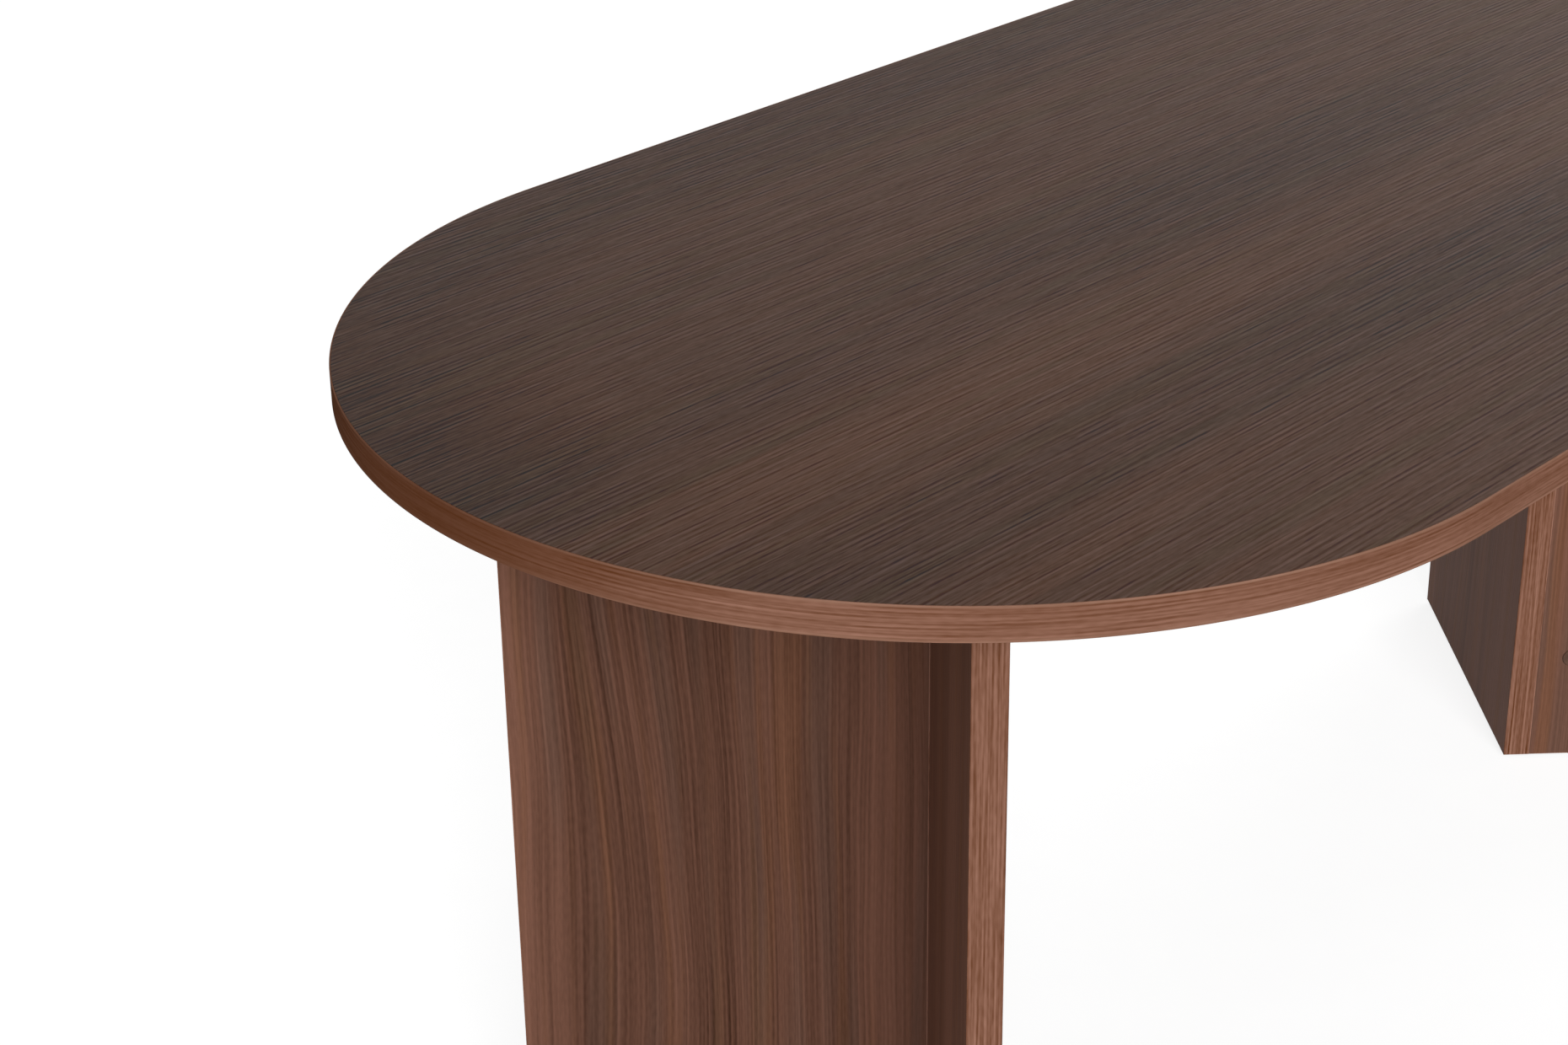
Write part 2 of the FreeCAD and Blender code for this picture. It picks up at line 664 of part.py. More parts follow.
def make_wood_screw():
    """Pan-head wood screw along Z, seated at Z 0, with a cross slot in its head."""
    shank = "screw_diameter / 2"
    head = "screw_head_diameter / 2"
    blank = turned("wood_screw_blank", [
        ("0", "-screw_head_height"),
        ("screw_head_crown / 2", "-screw_head_height"),
        (head, "-screw_head_rim"),
        (head, "0"),
        (shank, "0"),
        (shank, "screw_length - screw_tip"),
        ("0", "screw_length"),
    ])
    slots = cross_slot(
        "screw", "screw_drive_span", "screw_drive_width", "screw_drive_depth", "-screw_head_height")
    return cut("wood_screw", blank, slots, overlapping=True)


def make_top_bolt():
    """Button-head bolt along Z, seated at Z 0, with a hexagon socket."""
    shank = "top_bolt_diameter / 2"
    head = "top_bolt_head_diameter / 2"
    blank = turned("top_bolt_blank", [
        ("0", "-top_bolt_head_height"),
        ("top_bolt_head_crown / 2", "-top_bolt_head_height"),
        (head, "-top_bolt_head_rim"),
        (head, "0"),
        (shank, "0"),
        (shank, "top_bolt_length"),
        ("0", "top_bolt_length"),
    ])
    socket = doc.addObject("Part::Prism", "top_bolt_hexagon")
    socket.Polygon = 6
    bind(socket, {"Circumradius": "top_bolt_socket / 2", "Height": "top_bolt_socket_depth"})
    set_down(socket, ("0", "0", "-top_bolt_head_height"))
    return cut("top_bolt", blank, [socket])


def make_insert_nut():
    """Insert nut along Z, bored for the machine bolt."""
    bore = "top_bolt_diameter / 2 + hole_gap"
    wall = "insert_diameter / 2"
    return turned("insert_nut", [
        (bore, "0"),
        (wall, "0"),
        (wall, "insert_length"),
        (bore, "insert_length"),
    ])


def make_top_fixing(dowel):
    """Top dowels, brackets, screws, bolts and insert nuts of one leg, by node name."""
    dowel_foot = UNDERSIDE + " - (dowel_length - dowel_in_face)"
    bracket = make_bracket()
    through = [(("0", place, UNDERSIDE), OFF_THROUGH_PANEL) for place in BRACKET_ALONG]
    butted = [((place, "0", UNDERSIDE), OFF_BUTTED_PANEL) for place in BRACKET_ALONG]
    bolt_seat = UNDERSIDE + " - bracket_thickness"
    pieces = {
        "top_dowels": copies(
            "top_dowel", dowel, [(spot + (dowel_foot,), TO_Z) for spot in TOP_DOWEL_SPOTS]),
        "bracket_screws": copies("bracket_screw", make_wood_screw(), screw_places("bracket_thickness")),
        "top_bolts": copies(
            "top_bolt_copy", make_top_bolt(), [(spot + (bolt_seat,), TO_Z) for spot in insert_spots()]),
        "insert_nuts": copies(
            "insert_nut_copy", make_insert_nut(), [(spot + (UNDERSIDE,), TO_Z) for spot in insert_spots()]),
    }
    for panel, places in (("through", through), ("butted", butted)):
        for number, link in enumerate(copies(panel + "_bracket", bracket, places), start=1):
            pieces["%s_panel_bracket_%d" % (panel, number)] = [link]
    return pieces


# Feet

def make_glide():
    """Floor glide with a bevelled sole and a recess for the nail's head."""
    way = "nail_diameter / 2 + hole_gap"
    recess = "nail_head_diameter / 2 + hole_gap"
    wall = "glide_diameter / 2"
    return turned("floor_glide", [
        (way, "nail_recess"),
        (recess, "nail_recess"),
        (recess, "0"),
        (wall + " - glide_bevel", "0"),
        (wall, "glide_bevel"),
        (wall, "glide_height"),
        (way, "glide_height"),
    ])


def make_nail():
    """Nail along Z, the underside of its head at Z 0."""
    shank = "nail_diameter / 2"
    head = "nail_head_diameter / 2"
    return turned("glide_nail", [
        ("0", "-nail_head_height"),
        (head, "-nail_head_height"),
        (head, "0"),
        (shank, "0"),
        (shank, "nail_length - nail_diameter"),
        ("0", "nail_length"),
    ])


def make_feet():
    """Glides and nails of one leg, by node name."""
    glide = make_glide()
    pieces = {}
    for panel, spots in (("through", THROUGH_GLIDE_SPOTS), ("butted", BUTTED_GLIDE_SPOTS)):
        places = [(spot + ("0",), TO_Z) for spot in spots]
        for number, link in enumerate(copies(panel + "_glide", glide, places), start=1):
            pieces["%s_panel_glide_%d" % (panel, number)] = [link]
    nail_places = [(spot + ("nail_recess",), TO_Z) for spot in THROUGH_GLIDE_SPOTS + BUTTED_GLIDE_SPOTS]
    pieces["glide_nails"] = copies("glide_nail_copy", make_nail(), nail_places)
    return pieces


# Assembly

def stand_leg(piece, side):
    """Carry a piece from the leg's own frame to one end of the table."""
    angle, sign = LEGS[side]
    turn = FreeCAD.Rotation(FreeCAD.Vector(0, 0, 1), angle)
    set_down(piece, (sign + "(table_length / 2 - leg_setback)", "0", "0"), turn)


def make_legs():
    """Both legs from one set of pieces, the right one turned half round."""
    dowel = make_dowel()
    leg_pieces = make_panels()
    leg_pieces.update(make_corner_joint(dowel))
    leg_pieces.update(make_top_fixing(dowel))
    leg_pieces.update(make_feet())
    for side in LEGS:
        for name, pieces in leg_pieces.items():
            node = doc.addObject("Part::Compound", side + "_" + name)
            node.Links = pieces
            stand_leg(node, side)
            nodes.append(node)


def check_document():
    """Stop if any object failed to build or any piece has no valid solid."""
    for piece in doc.Objects:
        if {"Invalid", "Error"} & set(piece.State):
            raise RuntimeError(piece.Name + " failed: " + ", ".join(piece.State))
    for node in nodes:
        if node.Shape.isNull() or not node.Shape.isValid() or not node.Shape.Solids:
            raise RuntimeError(node.Label + " has no valid solid")


def write_parts():
    """Write each node's solids to its own file."""
    os.makedirs(STEP_FOLDER, exist_ok=True)
    for node in nodes:
        node.Shape.exportStep("%s/%s.step" % (STEP_FOLDER, node.Label))
        print(node.Label, len(node.Shape.Solids), round(node.Shape.Volume, 1))


write_sheet()
make_top_board()
make_top_band()
make_legs()
doc.recompute()
check_document()
write_parts()
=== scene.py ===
"""Oval dining table in printed walnut: the looks of every board, edge band, fixing and foot."""

import math

import bpy
import numpy as np
from bpy.props import FloatProperty, FloatVectorProperty, IntProperty, PointerProperty
from bpy.types import Operator, Panel, PropertyGroup
from mathutils import Matrix, Vector


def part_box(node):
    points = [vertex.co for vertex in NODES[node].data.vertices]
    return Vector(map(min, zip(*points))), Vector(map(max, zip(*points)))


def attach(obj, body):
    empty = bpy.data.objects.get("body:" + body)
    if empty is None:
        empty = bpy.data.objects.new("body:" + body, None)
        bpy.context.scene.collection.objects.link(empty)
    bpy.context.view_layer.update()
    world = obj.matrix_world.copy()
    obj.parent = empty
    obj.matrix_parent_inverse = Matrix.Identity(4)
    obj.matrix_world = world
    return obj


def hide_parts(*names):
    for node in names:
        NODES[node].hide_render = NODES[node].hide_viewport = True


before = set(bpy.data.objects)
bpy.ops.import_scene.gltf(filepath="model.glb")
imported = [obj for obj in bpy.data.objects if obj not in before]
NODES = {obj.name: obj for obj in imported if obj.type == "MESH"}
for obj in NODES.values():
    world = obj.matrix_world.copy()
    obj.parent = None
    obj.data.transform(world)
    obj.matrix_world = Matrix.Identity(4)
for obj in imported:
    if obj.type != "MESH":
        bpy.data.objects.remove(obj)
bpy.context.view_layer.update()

bl_info = {
    "name": "Oval dining table",
    "version": (1, 0, 0),
    "blender": (4, 5, 0),
    "location": "View3D > Sidebar > Table",
    "description": "Finishes an oval dining table in printed walnut, piece by piece",
    "category": "Object",
}

BODY = "root"
SIDES = ("left", "right")
PANELS = ("through_panel", "butted_panel")
PAIR = (1, 2)
LEG_BANDS = (
    ("through_panel", "end_band"),
    ("through_panel", "corner_band"),
    ("through_panel", "foot_band"),
    ("butted_panel", "end_band"),
    ("butted_panel", "joint_band"),
    ("butted_panel", "foot_band"),
)
RIM_MAP = "round_the_rim"
SHARP_EDGE = math.radians(35)
RIM_LOW, RIM_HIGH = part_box("top_edge_band")
BOARD_LOW, BOARD_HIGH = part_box("top_board")

# The legs stand at 45 degrees to the table, so their panels are square in a frame turned by that much.
LEG_TURN = np.array(Matrix.Rotation(math.radians(45), 3, "Z"))
DIAGONAL = math.sqrt(0.5)
# Turns Object coordinates so that the first axis runs up the panels and the other two along their arms.
UP_THE_PANEL = Matrix(((0, 0, 1), (DIAGONAL, DIAGONAL, 0), (-DIAGONAL, DIAGONAL, 0))).to_euler()


def leg_box(node):
    """Lowest and highest corner of a node in the frame turned with the legs."""
    mesh = NODES[node].data
    places = np.empty(len(mesh.vertices) * 3)
    mesh.vertices.foreach_get("co", places)
    turned = places.reshape(-1, 3) @ LEG_TURN
    return turned.min(0), turned.max(0)


# Along an arm: where the leg's outer corner is, and how far the arm reaches from there.
LEG_CORNER = float(-leg_box("left_butted_panel")[1][0])
ARM_REACH = float(leg_box("left_butted_panel_end_band")[1][1]) - LEG_CORNER

# Light and dark bands of the walnut figure, with painted shade on the rim and painted light on the panels:
# distance in metres, then tone from 0, dark, to 1, light.
# The distance is across the top, out along an arm of a leg, and along the rim as its map counts it.
TOP_FIGURE = (
    (-0.45, 0.52), (-0.36, 0.56), (-0.29, 0.56), (-0.24, 0.40), (-0.19, 0.42), (-0.12, 0.64),
    (-0.08, 0.63), (-0.02, 0.48), (0.04, 0.38), (0.10, 0.46), (0.18, 0.44), (0.25, 0.45),
    (0.34, 0.44), (0.45, 0.50),
)
# The light band from 0 to 0.06, where a leg's two panels meet, is painted light against the shadow that
# the through panel casts there.
PANEL_FIGURE_AND_PAINTED_LIGHT = (
    (0.00, 0.78), (0.045, 0.80), (0.06, 0.82), (0.09, 0.56), (0.12, 0.50), (0.14, 0.62), (0.165, 0.54),
    (0.195, 0.38), (0.225, 0.50), (0.25, 0.50), (0.28, 0.42), (0.30, 0.44), (0.325, 0.66), (0.35, 0.82),
)
# The dark stretch from 0.8 to 1.25 is painted shade: it darkens the rim round the table's left end, which
# the key light reaches less.
RIM_FIGURE_AND_PAINTED_SHADE = (
    (-0.1, 0.44), (0.5, 0.46), (0.8, 0.22), (0.93, 0.17), (0.99, 0.12), (1.06, 0.17), (1.12, 0.26),
    (1.18, 0.38), (1.25, 0.56), (1.38, 0.50), (1.5, 0.56), (2.0, 0.44), (2.5, 0.52), (2.9, 0.38),
    (3.3, 0.50), (3.8, 0.42), (4.2, 0.46), (4.528, 0.44),
)
# How far left of the table's middle the prints are centred and the rim's map counts from.
PRINT_SHIFT = 0.1

# Soft areas of painted shade on the top, and one of painted warmth that offsets the grey sheen: where each
# one starts and where it is full, in metres aside from the table's middle, back from it, or out from the
# line between the centres of the ends, and how much its tone changes.
EDGE_OUT, EDGE_BACK, EDGE_PAINTED_SHADE = (0.27, 0.43), (-0.15, 0.15), 0.22
END_ASIDE, END_PAINTED_SHADE = (0.72, 0.90), 0.07
MIDDLE_ASIDE, MIDDLE_BACK, MIDDLE_PAINTED_SHADE = (0.55, 0.0), (0.17, 0.05), 0.15
SHEEN_OFFSET_ASIDE, SHEEN_OFFSET_BACK, SHEEN_OFFSET_LIFT = (0.62, 0.82), (-0.05, 0.10), 0.03

# The swing of the panels' grain: the height of one swing, its phase, how far it goes to each side, and
# where out along an arm it grows and fades.
SWING_HEIGHT, SWING_PHASE, SWING_REACH = 1.1, 2.9, 0.015
SWING_GROWS, SWING_FADES = (0.12, 0.22), (0.335, 0.26)

# How far from the rim's upper and lower edge its paler trimmed plastic, with a painted highlight along the
# upper edge, starts and where it is full.
UPPER_TRIM, LOWER_TRIM = (0.0020, 0.0010), (0.0030, 0.0015)

# Slow streaks that the tints follow, the warm ones first, and the levels at which each starts and is full.
TINT_STREAKS = (
    ({"run": 0.40, "breadth": 0.014, "shift": 23.3}, (-0.2, 1.8)),
    ({"run": 0.45, "breadth": 0.022, "shift": 17.9}, (-0.8, 1.6)),
)

# Brings the spread of a noise texture to about 1 on each side of its middle.
NOISE_SPREAD = 11.0
NOISE_MIDDLE = 0.5
# Levels of such a noise at which clouds are darkest and lightest.
CLOUDS = (-1.5, 1.5)
# Points at which a sine is averaged.
CYCLE_POINTS = 200

# Broad lights: azimuth round from X, height above the floor and spread, in degrees, and how far off they
# stand.
LIGHTS = {"key_light": (231, 20, 30), "side_light": (150, 6, 40), "back_light": (0, 30, 40)}
LIGHT_DISTANCE = 3


def size(name, description, default):
    """A length in metres that a user can change."""
    return FloatProperty(
        name=name, description=description, default=default, min=0.0, precision=5, unit="LENGTH"
    )


def colour(name, description, default):
    """A linear colour that a user can change."""
    return FloatVectorProperty(
        name=name, description=description, default=default, min=0.0, max=1.0, size=3, subtype="COLOR"
    )


def number(name, description, default):
    """A plain number, from 0 up, that a user can change."""
    return FloatProperty(name=name, description=description, default=default, min=0.0)


def count(name, description, default):
    """A whole number, from 1 up, that a user can change."""
    return IntProperty(name=name, description=description, default=default, min=1)


def angle(name, description, degrees):
    """An angle that a user can change."""
    return FloatProperty(
        name=name, description=description, default=math.radians(degrees), subtype="ANGLE"
    )


class TableSizes(PropertyGroup):
    """Small sizes of the table's edges and of the meshes that show them."""

    rim_thickness: size("Rim band", "Thickness of the band round the top", 0.001)
    rim_ease: size("Rim arris", "Radius of the rim band's outer edges", 0.0005)
    leg_band_ease: size("Leg band arris", "Radius of the leg bands' outer edges", 0.0004)
    board_ease: size("Board arris", "Chamfer on the edges of the top board", 0.0002)
    flat_hold: size("Flat hold", "How far from a rounded edge its flat faces are pinned flat", 0.0001)
    end_steps: count("End steps", "Steps along each half-round end of the top", 160)
    side_steps: count("Side steps", "Steps along each half of a straight side of the top", 12)
    ease_steps: count("Arris steps", "Steps round each rounded edge of a band", 6)


class TableFinish(PropertyGroup):
    """Colours of the printed walnut and of the fixings."""

    top_dark: colour("Top, dark", "Darkest wood of the top", (0.014, 0.0054, 0.0024))
    top_light: colour("Top, light", "Lightest wood of the top", (0.140, 0.0602, 0.0312))
    top_line: colour("Top, line", "What a line of the top adds or takes away", (0.083, 0.0541, 0.0479))
    panel_dark: colour("Panel, dark", "Darkest wood of the leg panels", (0.028, 0.0105, 0.0052))
    panel_light: colour("Panel, light", "Lightest wood of the leg panels", (0.222, 0.1030, 0.0690))
    panel_line: colour("Panel, line", "What a line of a panel adds or takes away", (0.194, 0.0925, 0.0638))
    band_dark: colour("Band, dark", "Darkest streaks of the edge bands", (0.120, 0.0370, 0.0110))
    band_light: colour("Band, light", "Lightest streaks of the edge bands", (0.374, 0.1900, 0.1330))
    # Paler trimmed plastic, and a painted highlight along the rim's upper arris.
    band_arris_highlight: colour("Band, arris", "Paler plastic where the bands are trimmed", (0.400, 0.2300, 0.1600))
    top_violet: colour("Top, violet", "Multiplies the coolest streaks of the top", (0.92, 0.95, 1.0))
    top_olive: colour("Top, olive", "Multiplies the greenest streaks of the top", (0.93, 1.0, 0.84))
    # Painted colour: warms the ends of the back half of the top to offset the grey sheen seen there.
    top_umber_against_sheen: colour("Top, umber", "Multiplies the brownest parts of the top", (1.0, 0.89, 0.70))
    panel_violet: colour("Panel, violet", "Multiplies the coolest streaks of a panel", (0.87, 0.95, 1.0))
    panel_amber: colour("Panel, amber", "Multiplies the warmest streaks of a panel", (1.0, 0.96, 0.85))
    zinc: colour("Zinc plate", "Plated steel of the brackets", (0.55, 0.56, 0.58))
    steel: colour("Bright steel", "Screws, bolts and nails", (0.62, 0.62, 0.64))
    casting: colour("Zinc casting", "Cam locks", (0.50, 0.50, 0.52))
    brass: colour("Brass", "Insert nuts", (0.60, 0.45, 0.20))
    beech: colour("Beech", "Dowels", (0.55, 0.38, 0.22))
    cap: colour("Cap plastic", "Caps over the cam locks", (0.10, 0.05, 0.033))
    glide: colour("Glide plastic", "Glides under the legs", (0.06, 0.045, 0.038))


class TableStage(PropertyGroup):
    """The floor, the light and the camera."""

    floor_half: size("Floor half width", "From the middle of the floor to its edge", 12.0)
    floor_colour: colour("Floor", "Colour of the plain floor", (0.34, 0.34, 0.34))
    floor_glow: number("Floor glow", "White added where the floor is seen", 0.84)
    world_light: number("World light", "Strength of the even light from all round", 0.13)
    key_light: number("Key light", "Strength of the broad light in front", 2.7)
    side_light: number("Side light", "Strength of the weak light at the end of the table", 0.30)
    back_light: number("Back light", "Strength of the weaker light behind the table", 1.0)
    camera_place: FloatVectorProperty(
        name="Camera", description="Where the camera stands", default=(-2.0421, -1.3362, 1.5913),
        size=3, subtype="TRANSLATION",
    )
    camera_heading: angle("Heading", "Which way the camera looks, round from the X axis", 43.4252)
    camera_tilt: angle("Tilt", "How far the camera looks down", 25.7439)
    camera_roll: angle("Roll", "How far the camera is turned about its line of sight", -0.9069)
    camera_lens: FloatProperty(
        name="Lens", description="Focal length on a 36 mm sensor, in millimetres",
        default=70.394, min=1.0,
    )


def racetrack(half_length, half_width, end_steps, side_steps):
    """Path round the top, counter-clockwise from the middle of the back.

    A point of the path is a centre on the long axis plus the half width times a direction. Along a
    straight side the centre moves and the direction stays; round an end the centre stays and the direction
    turns. Gives centres, directions, and the distance run at each point and at the close.
    """
    reach = half_length - half_width
    side = np.linspace(0, 1, side_steps, endpoint=False)
    half_turn = np.linspace(0, np.pi, end_steps, endpoint=False)
    still = np.ones(end_steps)
    centre_x = np.concatenate([
        -reach * side, -reach * still, reach * (side - 1),
        reach * side, reach * still, reach * (1 - side),
    ])
    turn = np.concatenate([
        0 * side, half_turn, np.pi + 0 * side,
        np.pi + 0 * side, np.pi + half_turn, 2 * np.pi + 0 * side,
    ]) + np.pi / 2
    centres = np.stack([centre_x, np.zeros_like(centre_x)], -1)
    directions = np.stack([np.cos(turn), np.sin(turn)], -1)
    closed = np.concatenate([centres + half_width * directions, [[0, half_width]]])
    run = np.concatenate([[0], np.cumsum(np.linalg.norm(np.diff(closed, axis=0), axis=1))])
    return centres, directions, run


def carried_round(centres, directions, out, height):
    """A section carried round the racetrack.

    Each point is a centre plus its direction times how far out the section is, at the section's height.
    """
    flat = centres[:, None, :] + directions[:, None, :] * out[None, :, None]
    upright = np.broadcast_to(height[None, :, None], flat.shape[:2] + (1,))
    return np.concatenate([flat, upright], -1).reshape(-1, 3)


def eased_section(depth, width, ease, steps, hold):
    """Closed section of an edge band: how far out, and how far across, each of its points is.

    A rectangle whose two outer corners are quarter circles, with one more point on the flats beyond each
    end of a quarter circle.
    """
    turn = np.linspace(-np.pi / 2, 0, steps + 1)
    corner_out = depth - ease + ease * np.cos(turn)
    corner_across = ease + ease * np.sin(turn)
    inner_flat = depth - ease - hold
    outer_flat = ease + hold
    out = np.concatenate([
        [0, inner_flat], corner_out, [depth, depth], corner_out[::-1], [inner_flat, 0],
    ])
    across = np.concatenate([
        [0, 0], corner_across, [outer_flat, width - outer_flat],
        width - corner_across[::-1], [width, width],
    ])
    return out, across


def grid_faces(rows, columns, close_rows, close_columns):
    """Corner numbers of the quads on a grid of points, each direction closed on itself or open."""
    row = np.arange(rows if close_rows else rows - 1)
    column = np.arange(columns if close_columns else columns - 1)
    row, column = np.meshgrid(row, column, indexing="ij")
    next_row = (row + 1) % rows
    next_column = (column + 1) % columns
    corners = (
        row * columns + column,
        next_row * columns + column,
        next_row * columns + next_column,
        row * columns + next_column,
    )
    return np.stack(corners, -1).reshape(-1, 4)


def straight_band(low, high, outward, ease, steps, hold):
    """A band's points and faces: its eased section carried straight along its longest side.

    The section lies across the outward direction and the width, and the path runs along width x outward,
    so that the faces point outwards. Both ends are closed.
    """
    spans = high - low
    thin = int(np.argmax(np.abs(outward)))
    longest = int(np.argmax(spans))
    wide = 3 - thin - longest
    width = np.eye(3)[wide]
    path = np.cross(width, outward)
    out, across = eased_section(spans[thin], spans[wide], ease, steps, hold)
    start = np.where(outward + path > 0, low, high)
    start[wide] = low[wide]
    section = start + out[:, None] * outward + across[:, None] * width
    points = np.concatenate([section, section + spans[longest] * path])
    faces = grid_faces(2, len(out), False, True).tolist()
    ring = np.arange(len(out))
    faces.append(ring.tolist())
    faces.append((ring[::-1] + len(out)).tolist())
    return points, faces


def make_piece(name, points, faces, slot, material, *nodes):
    """A mesh at the origin that rides on the table and stands for these nodes."""
    mesh = bpy.data.meshes.new(name)
    mesh.from_pydata(points.tolist(), [], faces, shade_flat=False)
    mesh.set_sharp_from_angle(angle=SHARP_EDGE)
    mesh.materials.append(material)
    piece = bpy.data.objects.new(name, mesh)
    bpy.context.scene.collection.objects.link(piece)
    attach(piece, BODY)
    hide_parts(*nodes)
    return piece


def paint(material, *nodes):
    """Give whole nodes a finish."""
    for node in nodes:
        for slot in NODES[node].material_slots:
            slot.material = material


class Wire:
    """A socket of a node tree. Arithmetic on it adds Math nodes."""

    def __init__(self, tree, socket):
        self.tree = tree
        self.socket = socket

    def node(self, kind, settings, sockets, output=0):
        """Add a node of this kind: its settings, then the value or link of each socket."""
        added = self.tree.nodes.new(kind)
        for name, value in settings.items():
            if name == "stops":
                set_stops(added.color_ramp, value)
            else:
                setattr(added, name, value)
        feed(self.tree, added, sockets)
        return Wire(self.tree, added.outputs[output])

    def math(self, operation, first, second=0.0):
        """Add a Math node."""
        return self.node("ShaderNodeMath", {"operation": operation}, {0: first, 1: second})

    def vector(self, operation, *values):
        """Add a Vector Math node."""
        return self.node("ShaderNodeVectorMath", {"operation": operation}, dict(enumerate(values)))

    def __add__(self, other):
        return self.math("ADD", self, other)

    def __radd__(self, other):
        return self.math("ADD", other, self)

    def __sub__(self, other):
        return self.math("SUBTRACT", self, other)

    def __rsub__(self, other):
        return self.math("SUBTRACT", other, self)

    def __mul__(self, other):
        return self.math("MULTIPLY", self, other)

    def __rmul__(self, other):
        return self.math("MULTIPLY", other, self)


def feed(tree, node, sockets):
    """Give each of these sockets of a node its value or its link."""
    for name, value in sockets.items():
        if isinstance(value, Wire):
            tree.links.new(value.socket, node.inputs[name])
        else:
            node.inputs[name].default_value = value


def set_stops(ramp, stops):
    """Fill a colour ramp with these positions and colours."""
    ramp.interpolation = "EASE"
    while len(ramp.elements) > 1:
        ramp.elements.remove(ramp.elements[-1])
    ramp.elements[0].position = stops[0][0]
    ramp.elements[0].color = stops[0][1]
    for position, shade in stops[1:]:
        ramp.elements.new(position).color = shade


def begin_finish(name):
    """A new finish: its material, its shader node and the piece's Object coordinates."""
    material = bpy.data.materials.new(name)
    material.use_nodes = True
    shader = material.node_tree.nodes["Principled BSDF"]
    place = Wire(material.node_tree, shader.outputs[0]).node("ShaderNodeTexCoord", {}, {}, "Object")
    return material, shader, place


def solid(shade, strength=1.0):
    """A colour with its alpha, as sockets and ramps take it."""
    return tuple(strength * channel for channel in shade) + (1.0,)


def part(vector, axis):
    """One coordinate of a vector: X, Y or Z."""
    return vector.node("ShaderNodeSeparateXYZ", {}, {"Vector": vector}, axis)


def smooth_step(value, low, high):
    """0 at low and 1 at high, with a smooth rise between."""
    return value.node(
        "ShaderNodeMapRange", {"interpolation_type": "SMOOTHSTEP"},
        {"Value": value, "From Min": low, "From Max": high},
    )


def mixed(factor, first, second, blend="MIX"):
    """Two colours mixed by a factor."""
    settings = {"data_type": "RGBA", "blend_type": blend}
    return factor.node("ShaderNodeMix", settings, {0: factor, 6: first, 7: second}, 2)


def printed_place(place):
    """A place counted from where the prints are centred, left of the table's middle."""
    return place.vector("ADD", place, (PRINT_SHIFT, 0, 0))


def fibre(grain, run, breadth, shift, detail=1.0):
    """Noise drawn out along the first axis into streaks of about this run and breadth.

    Its middle is 0, and two thirds of it lie between -1 and 1. A different shift gives different streaks.
    """
    scale = (1 / run, 1 / breadth, 1 / breadth)
    stretched = grain.vector("MULTIPLY_ADD", grain, scale, (shift, 2 * shift, 3 * shift))
    noise = grain.node("ShaderNodeTexNoise", {}, {"Vector": stretched, "Scale": 1.0, "Detail": detail})
    return (noise - NOISE_MIDDLE) * NOISE_SPREAD


def wavy(grain, sway, run, breadth):
    """Grain whose lines wander across, along the second axis, by about this sway.

    The wandering changes over this run along the grain and this breadth across it.
    """
    stretched = grain.vector("MULTIPLY", grain, (1 / run, 1 / breadth, 1 / breadth))
    sockets = {"Vector": stretched, "Scale": 1.0, "Detail": 1.0}
    noise = grain.node("ShaderNodeTexNoise", {}, sockets, "Color")
    centred = grain.vector("SUBTRACT", noise, (NOISE_MIDDLE,) * 3)
    return grain.vector("MULTIPLY_ADD", centred, (0, NOISE_SPREAD * sway, 0), grain)


def figure_tone(distance, figure):
    """Tone of the walnut figure at a distance across it."""
    start, stop = figure[0][0], figure[-1][0]
    stops = [((place - start) / (stop - start), (tone, tone, tone, 1.0)) for place, tone in figure]
    position = (distance - start) * (1 / (stop - start))
    return distance.node("ShaderNodeValToRGB", {"stops": stops}, {"Fac": position})


def pin_lines(grain, across, period, run, low, shift):
    """Lines along the grain, a period apart, that fade in and out about this run. Their middle is 0.

    A line is the part of a sine above the low level, so that a higher one makes thinner lines. The phase
    of the sine drifts slowly.
    """
    drift = fibre(grain, run=6 * run, breadth=4 * period, shift=shift)
    fading = fibre(grain, run=run, breadth=period, shift=shift + 4.4)
    strength = smooth_step(fading, -1.2, 1.3)
    wave = drift.math("SINE", across * (2 * math.pi / period) + drift * 0.6)
    cycle = np.sin(np.linspace(0, 2 * np.pi, CYCLE_POINTS))
    rise = np.clip((cycle - low) / (1 - low), 0, 1)
    middle = float(np.mean(rise * rise * (3 - 2 * rise)))
    return (smooth_step(wave, low, 1.0) - middle) * strength


def printed_walnut(grain, across, figure, shades, tints, run, lines, threads, specks, streaks):
    """Colour of printed walnut, and the relief of its lines.

    The figure and broad streaks pick a colour between a dark and a light shade. Pin lines, light or dark
    by their sign, fine threads and short flecks, each of this strength, add the line colour or take it
    away. Slow streaks then tint the wood: warm ones first, and cool ones if a second tint is given.
    """
    wide_set = pin_lines(grain, across, period=0.0052, run=run, low=-0.6, shift=5.9)
    close_set = pin_lines(grain, across, period=0.0033, run=run, low=-0.6, shift=12.7)
    relief = (wide_set + close_set * 0.4) * lines
    fine = fibre(grain, run=run, breadth=0.0018, shift=7.7, detail=0.0)
    flecks = fibre(grain, run=0.008, breadth=0.0014, shift=27.1, detail=0.0)
    broad = fibre(grain, run=0.60, breadth=0.010, shift=3.1)
    dark, light, line = shades
    wood = mixed(figure + broad * streaks, solid(dark), solid(light))
    drawn = relief + fine * threads + flecks * specks
    wood = wood.vector("MULTIPLY_ADD", drawn, line, wood)
    wood = wood.vector("MAXIMUM", wood, (0, 0, 0))
    for tint, (slow, levels) in zip(tints, TINT_STREAKS):
        mask = smooth_step(fibre(grain, **slow), *levels)
        wood = mixed(mask, wood, solid(tint), "MULTIPLY")
    return wood, relief


